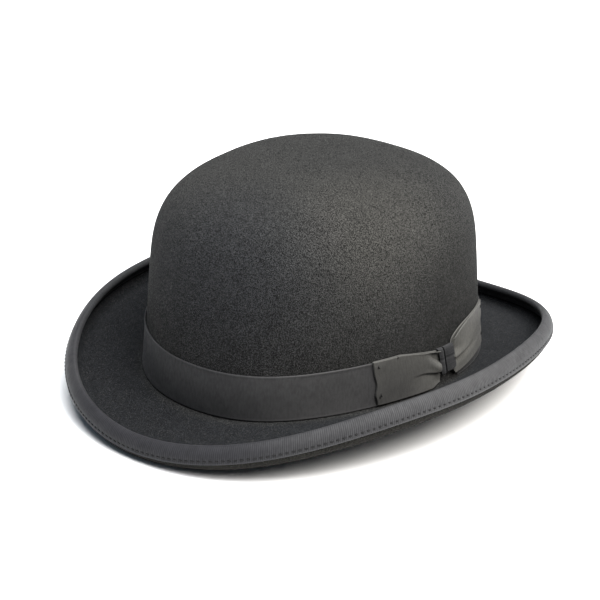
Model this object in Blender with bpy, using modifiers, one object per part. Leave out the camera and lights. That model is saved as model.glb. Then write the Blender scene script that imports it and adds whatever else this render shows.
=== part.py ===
"""Bowler hat: felt body, bound brim, ribbon band with a side bow, and a lined, leather-banded inside.

Frame: +Z up, the front of the hat towards -Y, the wearer's left at +X.
The origin is on the surface that the hat stands on, under the middle of its bounding box.
Angles round the hat are measured in degrees from the front, through the wearer's left, to the back.
"""

import bpy
import numpy as np

MM = 0.001

# The crown's plan is an egg-shaped superellipse, a little wider at the back.
CROWN_HALF_LENGTH = 100.2 * MM
CROWN_HALF_WIDTH = 85.7 * MM
OVAL_POWER = 2.28
OVAL_EGG = 0.069

# The crown's side leans in slightly and runs into a dome.
HAT_HEIGHT = 125.7 * MM
DOME_START = 66.5 * MM
DOME_POWER = 3.9
CROWN_TAPER = 0.74          # share of the plan lost for each metre of height

# Five stations round the brim: front, front quarter, side, back quarter, back.
STATIONS = np.radians([0.0, 45.0, 90.0, 135.0, 180.0])
BAND_BASE = np.array([13.4, 17.0, 16.1, 14.7, 13.0]) * MM      # height of the band's lower edge
BRIM_REACH = np.array([48.0, 42.4, 40.9, 41.9, 50.9]) * MM     # crown to the outside of the curl
CURL_RADIUS = np.array([8.0, 9.2, 9.1, 8.7, 7.5]) * MM         # outside of the bound edge
CURL_BOTTOM = np.array([0.0, 15.3, 21.8, 17.1, 0.0]) * MM      # underside of the felt at the curl
CURL_TURN = np.radians(164.0)                                  # how far the edge is rolled over

FELT = 2.4 * MM
FILLET = 0.8 * MM           # between the crown's side and the brim
BRIM_DROP = 0.9 * MM        # brim's upper face below the band's lower edge
BRIM_EASE = 0.35            # slope at the crown, as a share of the brim's mean slope
GAP = 0.3 * MM

RIBBON = 0.5 * MM
BINDING_WIDTH = 12.4 * MM   # on the outer face
BINDING_FOLD = 1.2 * MM     # length of the fold past the felt's edge
BAND_HEIGHT = 25.2 * MM
BAND_ENDS = (77.0, 108.0)   # the gap between them is under the bow

# Heights in the bow are above the band's lower edge, and depths from the felt's outer face.
BOW_RIBBON = 0.4 * MM
BOW_ENDS = {"front": 64.0, "rear": 129.5}
BOW_INNER = 1.3 * MM        # middle of the inner layer
BOW_WAIST = 2.2 * MM        # middle of the outer layer under the keeper
BOW_END = 2.0 * MM          # middle of the outer layer at the loop's end
BOW_BULGE = 0.4 * MM
BOW_LIFT = {"front": 0.5 * MM, "rear": 4.2 * MM}    # lower edge of each loop above the band's
REAR_TILT = 2.0 * MM        # further rise of the rear loop by its end
WAIST_BOTTOM = 7.2 * MM
WAIST_TOP = 20.8 * MM
PINCH = {"front": (18.0, 4.0), "rear": (8.0, 4.0)}      # degrees from the waist to full width: top, bottom
KEEPER_ANGLE = 99.3
KEEPER_HALF_ANGLE = 4.2
KEEPER_SKEW = 0.85          # degrees that its top leans to the front and its bottom to the back
KEEPER_HEIGHT = 15.5 * MM
KEEPER_RISE = 14.0 * MM
KEEPER_CORNER = 0.7 * MM
TACK_RADIUS = 0.5 * MM
TACK_INSET = 1.3            # degrees in from the loop's end
TACK_RISES = {"lower": 6.3 * MM, "upper": 22.7 * MM}

LEATHER = 0.9 * MM
SWEATBAND_DEPTH = 5.0 * MM  # middle of the leather, from the felt's outer face
SWEATBAND_HEIGHT = 48.0 * MM
REED_RADIUS = 1.0 * MM
REED_DROP = 1.0 * MM        # middle of the reed below the band's lower edge
TAPE = 0.4 * MM
TAPE_REACH = 6.0 * MM       # height of the tape's two legs
THREAD_RADIUS = 0.25 * MM
BINDING_STITCH_INSET = 2.0 * MM
SWEATBAND_STITCH_RISE = 3.0 * MM
SLEEVE_HALF_ANGLE = 4.5     # degrees of the reed that the sleeve covers each way
SLEEVE_WALL = 0.2 * MM
TAPE_BEND = REED_RADIUS + GAP + SLEEVE_WALL + GAP + TAPE / 2    # clears the sleeve

REAR_BOW_RISE = 12.0 * MM   # above the band's lower edge
REAR_BOW_PATH = ((1.0, 0.0), (3.5, 0.0), (7.0, 0.0), (7.8, 0.8), (7.0, 1.6), (3.5, 2.2), (1.0, 1.6))
REAR_KNOT = (2.2 * MM, 2.1 * MM, 5.0 * MM)
REAR_RIBBON = 0.25 * MM
TICKET_ANGLES = (225.0, 232.5, 240.0)
TICKET_HEIGHTS = (19.0 * MM, 8.0 * MM)
TICKET_DEPTH = 2.85 * MM
CARD = 0.3 * MM

LINING = 0.4 * MM
LINING_DEPTH = FELT + GAP + LINING / 2
TIP_GAP = 0.015             # share of the dome between the lining's side and tip panels
PIPING_RADIUS = 0.8 * MM
PATCH = 0.3 * MM

SIDES = 48                  # facets round the hat
DOME_ROWS = (0.9, 0.78, 0.66, 0.54, 0.4, 0.24, 0.1)      # shared by every sheet that follows the dome
ROUND = np.radians(np.arange(SIDES) * 360.0 / SIDES)


def around(values, angle):
    """Smooth value round the hat through the five stations, the same on both sides."""
    orders = np.arange(len(STATIONS))
    weights = np.linalg.solve(np.cos(np.outer(STATIONS, orders)), values)
    return float(np.cos(angle * orders) @ weights)


Y_SHIFT = (BRIM_REACH[0] - BRIM_REACH[-1]) / 2
TAPER_BASE = float(np.mean(BAND_BASE))


def oval(angle):
    """Point of the crown's plan, at the band, on its centre line."""
    width = CROWN_HALF_WIDTH * (1 - OVAL_EGG * np.cos(angle))
    across = (abs(np.sin(angle)) / width) ** OVAL_POWER
    along = (abs(np.cos(angle)) / CROWN_HALF_LENGTH) ** OVAL_POWER
    reach = (across + along) ** (-1 / OVAL_POWER)
    return np.array([reach * np.sin(angle), -reach * np.cos(angle), 0.0])


def outward(angle):
    """Horizontal unit normal of the crown's plan."""
    step = 0.001
    run = oval(angle + step) - oval(angle - step)
    normal = np.array([run[1], -run[0], 0.0])
    return normal / np.linalg.norm(normal)


def plan_scale(height):
    """Share of the plan left at a height."""
    lean = 1 - CROWN_TAPER * max(height - TAPER_BASE, 0.0)
    rise = np.clip((height - DOME_START) / (HAT_HEIGHT - DOME_START), 0.0, 1.0)
    return lean * (1 - rise ** DOME_POWER) ** (1 / DOME_POWER)


def place(angle, height, offset):
    """Point beside the crown's wall, offset outwards on the level."""
    point = oval(angle) * plan_scale(height) + outward(angle) * offset
    return point + np.array([0.0, Y_SHIFT, height])


def dome_height(share):
    """Height of a dome row: share 0 is the dome's start and 1 the top."""
    return DOME_START + (HAT_HEIGHT - DOME_START) * np.sin(share * np.pi / 2) ** (2 / DOME_POWER)


def dome(angle, share, depth):
    """Point of the dome, set in from the felt's outer face along its normal."""
    step = 0.002
    low = place(angle, dome_height(share - step), 0.0)
    high = place(angle, dome_height(share + step), 0.0)
    upward = high - low
    sideways = place(angle + step, dome_height(share), 0.0) - place(angle - step, dome_height(share), 0.0)
    normal = np.cross(sideways, upward)
    return place(angle, dome_height(share), 0.0) - depth * normal / np.linalg.norm(normal)


def band_base(angle):
    return around(BAND_BASE, angle)


def curl_point(angle, turn, depth):
    """Point of the rolled edge, set in from the outside of the binding."""
    reach = around(BRIM_REACH, angle)
    radius = around(CURL_RADIUS, angle)
    bottom = around(CURL_BOTTOM, angle) - RIBBON - GAP
    offset = reach - radius + (radius - depth) * np.sin(turn)
    height = bottom + radius - (radius - depth) * np.cos(turn)
    flat = oval(angle) + outward(angle) * offset
    return flat + np.array([0.0, Y_SHIFT, height])


# ---------------------------------------------------------------- building objects

def material(name, colour, roughness, metallic=0.0):
    made = bpy.data.materials.new(name)
    made.use_nodes = True
    shader = made.node_tree.nodes["Principled BSDF"]
    shader.inputs["Base Color"].default_value = (*colour, 1.0)
    shader.inputs["Roughness"].default_value = roughness
    shader.inputs["Metallic"].default_value = metallic
    made.diffuse_color = (*colour, 1.0)
    return made


def keep(thing, colour, roughness, metallic=0.0):
    """Put an object in the hat's collection, under its frame, with its own material."""
    for home in list(thing.users_collection):
        home.objects.unlink(thing)
    HAT.objects.link(thing)
    thing.parent = FRAME
    thing.data.materials.append(material(thing.name + "_material", colour, roughness, metallic))
    return thing


def shell(name, rows, thickness, finish, ring=True, pole=None):
    """A sheet through rows of points, given a thickness.

    ring joins each row's last point to its first; pole closes the first row with a fan to one point.
    """
    rows = np.array(rows)
    count, width = rows.shape[:2]
    points = [tuple(point) for row in rows for point in row]
    faces = []
    for row in range(count - 1):
        for column in range(width if ring else width - 1):
            beside = (column + 1) % width
            faces.append((row * width + column, (row + 1) * width + column,
                          (row + 1) * width + beside, row * width + beside))
    if pole is not None:
        points.append(tuple(pole))
        for column in range(width):
            faces.append((len(points) - 1, column, (column + 1) % width))
    mesh = bpy.data.meshes.new(name)
    mesh.from_pydata(points, [], faces)
    mesh.shade_smooth()
    mesh.set_sharp_from_angle(angle=np.radians(50))
    made = keep(bpy.data.objects.new(name, mesh), *finish)
    solid = made.modifiers.new("thickness", "SOLIDIFY")
    solid.thickness = thickness
    solid.offset = 0.0
    solid.use_even_offset = True
    return made


def rod(name, points, radius, finish, closed=True):
    """A thread, cord or rod along a route."""
    curve = bpy.data.curves.new(name, "CURVE")
    curve.dimensions = "3D"
    curve.bevel_depth = radius
    curve.bevel_resolution = 1
    curve.use_fill_caps = True
    spline = curve.splines.new("POLY")
    spline.points.add(len(points) - 1)
    for target, point in zip(spline.points, points):
        target.co = (*point, 1.0)
    spline.use_cyclic_u = closed
    return keep(bpy.data.objects.new(name, curve), *finish)


def ease(value):
    """Smooth step from 0 to 1."""
    value = float(np.clip(value, 0.0, 1.0))
    return value * value * (3 - 2 * value)


# ---------------------------------------------------------------- finishes: colour, roughness

FELT_FINISH = ((0.020, 0.020, 0.021), 0.95)
RIBBON_FINISH = ((0.045, 0.044, 0.046), 0.65)
KEEPER_FINISH = ((0.040, 0.041, 0.048), 0.65)
THREAD_FINISH = ((0.010, 0.010, 0.011), 0.80)
LEATHER_FINISH = ((0.135, 0.060, 0.028), 0.45)
SATIN_FINISH = ((0.060, 0.058, 0.062), 0.35)
TAPE_FINISH = ((0.030, 0.028, 0.027), 0.85)
REED_FINISH = ((0.420, 0.290, 0.150), 0.50)
PAPER_FINISH = ((0.780, 0.760, 0.700), 0.80)
CLEAR_FINISH = ((0.700, 0.700, 0.680), 0.10)
BRASS_FINISH = ((0.620, 0.430, 0.170), 0.30, 1.0)


# ---------------------------------------------------------------- the felt and its ribbons

def brim_rows(angle):
    """Middle of the felt from the crown's side, round the fillet and along the brim."""
    top = band_base(angle) - BRIM_DROP
    start = np.array([FILLET, top - FELT / 2])
    end = np.array([around(BRIM_REACH, angle) - around(CURL_RADIUS, angle),
                    around(CURL_BOTTOM, angle) + FELT / 2])
    run, rise = end - start
    slope = BRIM_EASE * rise / run
    rows = []
    bend = FILLET + FELT / 2
    for share in (0.0, 0.35, 0.7):
        turn = share * (np.pi / 2 + np.arctan(slope))
        rows.append((FILLET - bend * np.cos(turn), top + FILLET - bend * np.sin(turn)))
    for share in (0.0, 0.2, 0.4, 0.6, 0.8):
        curve = 3 * share ** 2 - 2 * share ** 3
        lead = share - 2 * share ** 2 + share ** 3
        rows.append((start[0] + run * share, start[1] + rise * curve + slope * run * lead))
    return rows


def felt_edge(angle):
    """Turn of the curl at which the felt ends, inside the binding's fold."""
    middle = around(CURL_RADIUS, angle) - RIBBON - GAP - FELT / 2
    return CURL_TURN - (BINDING_FOLD + RIBBON / 2) / middle


def build_felt_body():
    half = FELT / 2
    columns = []
    for angle in ROUND:
        base = band_base(angle)
        column = [dome(angle, share, half) for share in DOME_ROWS]
        column += [place(angle, DOME_START, -half)]
        column += [place(angle, base + BAND_HEIGHT, -half), place(angle, base + BAND_HEIGHT / 2, -half)]
        column += [place(angle, height, offset) for offset, height in brim_rows(angle)]
        for share in np.linspace(0.0, 1.0, 9):
            column.append(curl_point(angle, share * felt_edge(angle), RIBBON + GAP + half))
        columns.append(column)
    rows = np.array(columns).transpose(1, 0, 2)
    crest = (0.0, Y_SHIFT, HAT_HEIGHT - half)
    shell("felt_body", rows, FELT, FELT_FINISH, pole=crest)


def build_binding():
    """Ribbon folded over the felt's edge, the same length of curl on both faces."""
    outer = RIBBON / 2
    inner = RIBBON + GAP + FELT + GAP + RIBBON / 2
    columns = []
    for angle in ROUND:
        radius = around(CURL_RADIUS, angle)
        edge = felt_edge(angle)
        start = CURL_TURN - BINDING_WIDTH / radius
        legs = np.linspace(start, edge, 5)
        column = [curl_point(angle, turn, outer) for turn in legs]
        middle, half = (outer + inner) / 2, (inner - outer) / 2
        for swing in np.radians([-50.0, 0.0, 50.0]):
            past = BINDING_FOLD * np.cos(swing) / (radius - middle)
            column.append(curl_point(angle, edge + past, middle + half * np.sin(swing)))
        column += [curl_point(angle, turn, inner) for turn in legs[::-1]]
        columns.append(column)
    shell("brim_binding", np.array(columns).transpose(1, 0, 2), RIBBON, RIBBON_FINISH)


def build_binding_stitching():
    """Thread along the binding's lower edge."""
    route = []
    for angle in ROUND:
        radius = around(CURL_RADIUS, angle)
        turn = CURL_TURN - (BINDING_WIDTH - BINDING_STITCH_INSET) / radius
        route.append(curl_point(angle, turn, -GAP - THREAD_RADIUS))
    rod("binding_stitching", route, THREAD_RADIUS, THREAD_FINISH)


def build_hat_band():
    """Open strip: it starts behind the bow, goes round the back and the front, and ends at the bow."""
    first, last = BAND_ENDS[1], BAND_ENDS[0] + 360.0
    inside = [angle for angle in np.arange(0.0, 720.0, 360.0 / SIDES) if first + 1 < angle < last - 1]
    angles = np.radians([first, *inside, last])
    rows = []
    for share in (1.0, 0.5, 0.0):
        rows.append([place(angle, band_base(angle) + share * BAND_HEIGHT, GAP + RIBBON / 2)
                     for angle in angles])
    shell("hat_band", rows, RIBBON, RIBBON_FINISH, ring=False)


# ---------------------------------------------------------------- the side bow

def pinch(degrees, reach):
    """1 under the keeper, falling to 0 along the loop."""
    past = abs(degrees - KEEPER_ANGLE) - KEEPER_HALF_ANGLE - KEEPER_SKEW
    return 1 - ease(past / reach)


def bow_section(side, degrees, offset):
    """One upright line of a loop's ribbon."""
    angle = np.radians(degrees)
    top_reach, bottom_reach = PINCH[side]
    low = BOW_LIFT[side]
    if side == "rear":
        low += REAR_TILT * (degrees - KEEPER_ANGLE) / (BOW_ENDS["rear"] - KEEPER_ANGLE)
    high = low + BAND_HEIGHT
    low += (WAIST_BOTTOM - low) * pinch(degrees, bottom_reach)
    high += (WAIST_TOP - high) * pinch(degrees, top_reach)
    base = band_base(angle)
    return [place(angle, base + low + share * (high - low), offset) for share in np.linspace(0.0, 1.0, 4)]


def build_bow_loop(side):
    """Ribbon that runs out from the keeper, folds back at the loop's end and returns."""
    end = BOW_ENDS[side]
    way = np.sign(end - KEEPER_ANGLE)
    root = KEEPER_ANGLE + way * 0.3
    along = np.linspace(0.0, 1.0, 9)
    rows = [bow_section(side, root + share * (end - root), BOW_INNER) for share in along]
    rows.append(bow_section(side, end + way * 0.3, (BOW_INNER + BOW_END) / 2))
    for share in along[::-1]:
        swell = BOW_BULGE * np.sin(np.pi * np.clip(share * 1.25 - 0.25, 0.0, 1.0))
        level = BOW_END + (BOW_WAIST - BOW_END) * (1 - ease(share * 2)) + swell
        rows.append(bow_section(side, root + share * (end - root), level))
    shell(f"bow_{side}_loop", rows, BOW_RIBBON, RIBBON_FINISH, ring=False)


def build_bow_keeper():
    """Short ribbon wrapped round the waist of the bow, leaning a little."""
    back = GAP + BOW_RIBBON / 2
    front = BOW_WAIST + BOW_RIBBON + GAP
    corner = KEEPER_CORNER
    half = (KEEPER_HEIGHT - BOW_RIBBON) / 2
    outline = [(back, -half + corner), (back, 0.0), (back, half - corner), (back + corner, half),
               (front - corner, half), (front, half - corner), (front, 0.0), (front, -half + corner),
               (front - corner, -half), (back + corner, -half)]
    rows = []
    for degrees in np.linspace(KEEPER_ANGLE - KEEPER_HALF_ANGLE, KEEPER_ANGLE + KEEPER_HALF_ANGLE, 4):
        row = []
        for offset, rise in outline:
            angle = np.radians(degrees - KEEPER_SKEW * rise / half)
            row.append(place(angle, band_base(angle) + KEEPER_RISE + rise, offset))
        rows.append(row)
    shell("bow_keeper", rows, BOW_RIBBON, KEEPER_FINISH)


def build_bow_tacks():
    """A small knot of thread near each corner of the bow's two loops."""
    for side, end in BOW_ENDS.items():
        angle = np.radians(end + np.sign(KEEPER_ANGLE - end) * TACK_INSET)
        lift = BOW_END + BOW_RIBBON / 2 + BOW_BULGE / 2 + TACK_RADIUS
        for level, rise in TACK_RISES.items():
            if side == "rear":
                rise += BOW_LIFT["rear"] - BOW_LIFT["front"] + REAR_TILT
            centre = place(angle, band_base(angle) + rise, lift)
            bpy.ops.mesh.primitive_uv_sphere_add(segments=8, ring_count=6, radius=TACK_RADIUS,
                                                 location=centre)
            tack = bpy.context.object
            tack.name = f"bow_{side}_{level}_tack"
            tack.data.name = tack.name
            tack.data.shade_smooth()
            keep(tack, *THREAD_FINISH)


# ---------------------------------------------------------------- the inside of the head opening

def rear_ends():
    """Angles of a strip round the inside whose two ends meet at the back."""
    half = 0.25
    between = np.arange(-180.0 + 360.0 / SIDES, 180.0 - 1.0, 360.0 / SIDES)
    return np.radians([-180.0 + half, *between, 180.0 - half])


def build_sweatband():
    rows = []
    for share in (1.0, 0.5, 0.0):
        rise = 1.0 * MM + share * SWEATBAND_HEIGHT
        rows.append([place(angle, band_base(angle) + rise, -SWEATBAND_DEPTH) for angle in rear_ends()])
    shell("sweatband", rows, LEATHER, LEATHER_FINISH, ring=False)


def reed_route(angles):
    return [place(angle, band_base(angle) - REED_DROP, -SWEATBAND_DEPTH) for angle in angles]


def build_reed():
    """Springy rod round the edge, its ends held in a sleeve at the back."""
    rod("sweatband_reed", reed_route(rear_ends()), REED_RADIUS, REED_FINISH, closed=False)
    rows = []
    wall = REED_RADIUS + GAP + SLEEVE_WALL / 2
    for degrees in (-SLEEVE_HALF_ANGLE, 0.0, SLEEVE_HALF_ANGLE):
        angle = np.radians(180.0 + degrees)
        centre = band_base(angle) - REED_DROP
        rows.append([place(angle, centre + wall * np.sin(swing), -SWEATBAND_DEPTH + wall * np.cos(swing))
                     for swing in np.linspace(0.0, 2 * np.pi, 8, endpoint=False)])
    shell("reed_sleeve", rows, SLEEVE_WALL, BRASS_FINISH)


def build_reed_tape():
    """Tape folded up round the reed and both faces of the leather's lower edge."""
    bend = TAPE_BEND
    columns = []
    for angle in ROUND:
        centre = band_base(angle) - REED_DROP
        column = [place(angle, centre + TAPE_REACH, -SWEATBAND_DEPTH + bend)]
        for swing in np.radians([0.0, -45.0, -90.0, -135.0, -180.0]):
            height = centre + bend * np.sin(swing)
            column.append(place(angle, height, -SWEATBAND_DEPTH + bend * np.cos(swing)))
        column.append(place(angle, centre + TAPE_REACH, -SWEATBAND_DEPTH - bend))
        columns.append(column)
    shell("reed_tape", np.array(columns).transpose(1, 0, 2), TAPE, TAPE_FINISH)
    depth = SWEATBAND_DEPTH + bend + TAPE / 2 + GAP + THREAD_RADIUS
    route = [place(angle, band_base(angle) + SWEATBAND_STITCH_RISE, -depth) for angle in ROUND]
    rod("sweatband_stitching", route, THREAD_RADIUS, THREAD_FINISH)


def build_rear_bow():
    """Small ribbon bow on the rear seam: two folded loops and a knot."""
    face = SWEATBAND_DEPTH + LEATHER / 2 + GAP + REAR_RIBBON / 2
    for side, way in (("left", 1.0), ("right", -1.0)):
        rows = []
        for degrees, lift in REAR_BOW_PATH:
            angle = np.radians(180.0 - way * degrees)
            middle = band_base(angle) + REAR_BOW_RISE
            half = (1.8 + 0.3 * degrees) * MM
            rows.append([place(angle, middle + rise, -face - lift * MM) for rise in (-half, 0.0, half)])
        shell(f"rear_bow_{side}_loop", rows, REAR_RIBBON, RIBBON_FINISH, ring=False)
    angle = np.radians(180.0)
    knot = place(angle, band_base(angle) + REAR_BOW_RISE, -face - REAR_KNOT[1] / 2)
    bpy.ops.mesh.primitive_cube_add(size=1.0, location=knot)
    made = bpy.context.object
    made.name = "rear_bow_knot"
    made.data.name = made.name
    for vertex in made.data.vertices:
        vertex.co = [place * size for place, size in zip(vertex.co, REAR_KNOT)]
    bevel = made.modifiers.new("round", "BEVEL")
    bevel.width = 0.6 * MM
    bevel.segments = 2
    keep(made, *RIBBON_FINISH)


def build_lining():
    """Satin side and tip panels, the piping in their seam, and the clear patch on the tip."""
    seam = DOME_ROWS[3]
    rows = [[dome(angle, share, LINING_DEPTH) for angle in ROUND] for share in DOME_ROWS[3:]]
    rows.append([place(angle, DOME_START, -LINING_DEPTH) for angle in ROUND])
    rows.append([place(angle, band_base(angle) + BAND_HEIGHT, -LINING_DEPTH) for angle in ROUND])
    shell("lining_side", rows, LINING, SATIN_FINISH)

    crest = np.array([0.0, Y_SHIFT, HAT_HEIGHT])
    rows = [[dome(angle, share, LINING_DEPTH) for angle in ROUND]
            for share in (*DOME_ROWS[:3], seam + TIP_GAP)]
    shell("lining_tip", rows, LINING, SATIN_FINISH, pole=crest - (0.0, 0.0, LINING_DEPTH))

    depth = LINING_DEPTH + LINING / 2 + GAP + PIPING_RADIUS
    route = [dome(angle, seam + TIP_GAP / 2, depth) for angle in ROUND]
    rod("lining_piping", route, PIPING_RADIUS, SATIN_FINISH)

    depth = LINING_DEPTH + (LINING + PATCH) / 2 + GAP
    rows = [[dome(angle, share, depth) for angle in ROUND] for share in DOME_ROWS[:2]]
    shell("tip_protector", rows, PATCH, CLEAR_FINISH, pole=crest - (0.0, 0.0, depth))


def build_size_ticket():
    """Blank card between the felt and the leather, at the wearer's right."""
    angles = np.radians(TICKET_ANGLES)
    rows = [[place(angle, band_base(angle) + rise, -TICKET_DEPTH) for angle in angles]
            for rise in TICKET_HEIGHTS]
    shell("size_ticket", rows, CARD, PAPER_FINISH, ring=False)


# ---------------------------------------------------------------- assembly

for old in list(bpy.data.objects):
    bpy.data.objects.remove(old)

HAT = bpy.data.collections.new("bowler_hat")
bpy.context.scene.collection.children.link(HAT)
FRAME = bpy.data.objects.new("hat_frame", None)
HAT.objects.link(FRAME)

build_felt_body()
build_binding()
build_binding_stitching()
build_hat_band()
build_bow_loop("front")
build_bow_loop("rear")
build_bow_keeper()
build_bow_tacks()
build_sweatband()
build_reed()
build_reed_tape()
build_rear_bow()
build_lining()
build_size_ticket()
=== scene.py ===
"""Bowler hat: felt, ribbons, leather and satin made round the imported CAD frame.

Frame: +Z up, the front of the hat towards -Y, the wearer's left at +X, lengths in metres.
Angles round the hat run from the front, through the wearer's left, to the back.
"""

import bpy
import numpy as np
from mathutils import Matrix, Vector, noise


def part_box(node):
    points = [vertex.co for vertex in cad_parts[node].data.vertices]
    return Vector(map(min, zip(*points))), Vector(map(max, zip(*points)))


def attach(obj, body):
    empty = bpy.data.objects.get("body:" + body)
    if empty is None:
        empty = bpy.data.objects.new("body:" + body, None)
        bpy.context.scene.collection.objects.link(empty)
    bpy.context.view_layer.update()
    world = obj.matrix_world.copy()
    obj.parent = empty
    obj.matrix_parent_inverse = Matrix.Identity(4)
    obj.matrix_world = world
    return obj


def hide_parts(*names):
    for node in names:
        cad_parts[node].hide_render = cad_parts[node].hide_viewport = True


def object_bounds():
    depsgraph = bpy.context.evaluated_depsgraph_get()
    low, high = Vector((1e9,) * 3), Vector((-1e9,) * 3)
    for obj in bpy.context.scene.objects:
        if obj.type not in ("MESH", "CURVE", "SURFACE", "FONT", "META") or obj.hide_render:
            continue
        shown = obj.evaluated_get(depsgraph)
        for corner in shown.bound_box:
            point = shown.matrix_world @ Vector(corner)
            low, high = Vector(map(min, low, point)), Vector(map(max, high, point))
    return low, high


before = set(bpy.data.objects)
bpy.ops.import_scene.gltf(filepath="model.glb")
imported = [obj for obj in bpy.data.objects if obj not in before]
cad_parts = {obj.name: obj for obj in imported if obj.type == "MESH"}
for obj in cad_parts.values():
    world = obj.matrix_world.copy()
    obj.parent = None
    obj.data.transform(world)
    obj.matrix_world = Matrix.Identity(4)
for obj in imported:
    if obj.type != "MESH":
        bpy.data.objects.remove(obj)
CAD_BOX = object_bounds()

MM = 0.001

# ---- the hat's shape, as in the CAD

CROWN_HALF_LENGTH = 100.2 * MM
CROWN_HALF_WIDTH = 85.7 * MM
OVAL_POWER = 2.28
OVAL_EGG = 0.069

HAT_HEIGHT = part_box("felt_body")[1].z
DOME_START = 66.5 * MM
DOME_POWER = 3.9
CROWN_TAPER = 0.74

STATIONS = np.radians([0.0, 45.0, 90.0, 135.0, 180.0])
BAND_BASE = np.array([13.4, 17.0, 16.1, 14.7, 13.0]) * MM
BRIM_REACH = np.array([48.0, 42.4, 40.9, 41.9, 50.9]) * MM
CURL_RADIUS = np.array([8.0, 9.2, 9.1, 8.7, 7.5]) * MM
CURL_BOTTOM = np.array([0.0, 15.3, 21.8, 17.1, 0.0]) * MM
CURL_TURN = np.radians(164.0)

FELT = 2.4 * MM
FILLET = 0.8 * MM
BRIM_DROP = 0.9 * MM
BRIM_EASE = 0.35
GAP = 0.3 * MM

RIBBON = 0.5 * MM
BINDING_WIDTH = 12.4 * MM
BINDING_FOLD = 1.2 * MM
BINDING_GIRTH = 29.0 * MM     # the ribbon's run across both its faces, from selvedge to selvedge
BAND_HEIGHT = 25.2 * MM
BAND_ENDS = np.radians([77.0, 107.0])

LEATHER = 0.9 * MM
SWEATBAND_DEPTH = 5.0 * MM
SWEATBAND_HEIGHT = 48.0 * MM
REED_RADIUS = 1.0 * MM
REED_DROP = 1.0 * MM
TAPE = 0.4 * MM
TAPE_BEND = 2.0 * MM
TAPE_REACH = 6.0 * MM

LINING = 0.4 * MM
LINING_DEPTH = FELT + GAP + LINING / 2
TIP_SEAM = 0.5475             # share of the way up the dome at which the lining's two panels meet
SEAM_HALF = 0.0075            # and the share that each panel stops short of it

Y_SHIFT = (BRIM_REACH[0] - BRIM_REACH[-1]) / 2
TAPER_BASE = BAND_BASE.mean()

ORDERS = np.arange(len(STATIONS))
STATION_COSINES = np.linalg.inv(np.cos(np.outer(STATIONS, ORDERS)))


def around(values, angle):
    """Smooth value round the hat through the five stations, the same on both sides."""
    return np.cos(np.multiply.outer(angle, ORDERS)) @ (STATION_COSINES @ values)


def oval(angle):
    """Points of the crown's plan, at the band."""
    width = CROWN_HALF_WIDTH * (1 - OVAL_EGG * np.cos(angle))
    across = (np.abs(np.sin(angle)) / width) ** OVAL_POWER
    along = (np.abs(np.cos(angle)) / CROWN_HALF_LENGTH) ** OVAL_POWER
    reach = (across + along) ** (-1 / OVAL_POWER)
    return np.stack([reach * np.sin(angle), -reach * np.cos(angle)], axis=-1)


def outward(angle):
    """Horizontal unit normals of the crown's plan."""
    step = 0.001
    run = oval(angle + step) - oval(angle - step)
    normal = np.stack([run[..., 1], -run[..., 0]], axis=-1)
    return normal / np.linalg.norm(normal, axis=-1, keepdims=True)


def plan_scale(height):
    """Share of the plan left at a height."""
    lean = 1 - CROWN_TAPER * np.maximum(height - TAPER_BASE, 0.0)
    rise = np.clip((height - DOME_START) / (HAT_HEIGHT - DOME_START), 0.0, 1.0)
    return lean * (1 - rise ** DOME_POWER) ** (1 / DOME_POWER)


def space(flat, height):
    """Points in the row frame from plan points and heights."""
    return np.concatenate([flat, height[..., None]], axis=-1) + np.array([0.0, Y_SHIFT, 0.0])


def beside(angle, offset, height):
    """Points out from the crown's plan on the level, whatever the height."""
    angle, offset, height = np.broadcast_arrays(angle, offset, height)
    return space(oval(angle) + outward(angle) * offset[..., None], height)


def on_wall(angle, offset, height):
    """Points out from the crown's leaning wall on the level."""
    angle, offset, height = np.broadcast_arrays(angle, offset, height)
    flat = oval(angle) * plan_scale(height)[..., None] + outward(angle) * offset[..., None]
    return space(flat, height)


def dome_height(share):
    """Height of a dome row: share 0 is the dome's start and 1 the top."""
    return DOME_START + (HAT_HEIGHT - DOME_START) * np.sin(share * np.pi / 2) ** (2 / DOME_POWER)


def on_dome(angle, share, depth):
    """Points of the dome, set in from the felt's outer face along its normal."""
    step = 0.002
    angle, share, depth = np.broadcast_arrays(angle, share, depth)
    here = dome_height(share)
    above, below = dome_height(share + step), dome_height(share - step)
    upward = on_wall(angle, 0.0, above) - on_wall(angle, 0.0, below)
    sideways = on_wall(angle + step, 0.0, here) - on_wall(angle - step, 0.0, here)
    normal = np.cross(sideways, upward)
    normal /= np.linalg.norm(normal, axis=-1, keepdims=True)
    return on_wall(angle, 0.0, here) - depth[..., None] * normal


def curl_profile(angle, turn, depth):
    """Offset and height of points of the rolled edge, set in from the outside of the binding."""
    radius = around(CURL_RADIUS, angle)
    centre = around(CURL_BOTTOM, angle) - RIBBON - GAP + radius
    offset = around(BRIM_REACH, angle) - radius + (radius - depth) * np.sin(turn)
    return offset, centre - (radius - depth) * np.cos(turn)


def on_curl(angle, turn, depth):
    """Points of the rolled edge."""
    angle, turn, depth = np.broadcast_arrays(angle, turn, depth)
    return beside(angle, *curl_profile(angle, turn, depth))


def felt_edge(angle):
    """Turn of the curl at which the felt ends, inside the binding's fold."""
    middle = around(CURL_RADIUS, angle) - RIBBON - GAP - FELT / 2
    return CURL_TURN - (BINDING_FOLD + RIBBON / 2) / middle


def ease(value):
    """Smooth step from 0 to 1."""
    value = np.clip(value, 0.0, 1.0)
    return value * value * (3 - 2 * value)


def hump(value, centre, width):
    """1 at the centre, falling smoothly to 0 on both sides."""
    return np.exp(-((value - centre) / width) ** 2)


def squared(value, power):
    """Powers of a value's size, with its sign: below 1 they turn a circle into a rounded square."""
    return np.sign(value) * np.abs(value) ** power


def ring(count):
    """Angles once round, without the last."""
    return np.linspace(0.0, 2 * np.pi, count, endpoint=False)


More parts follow.
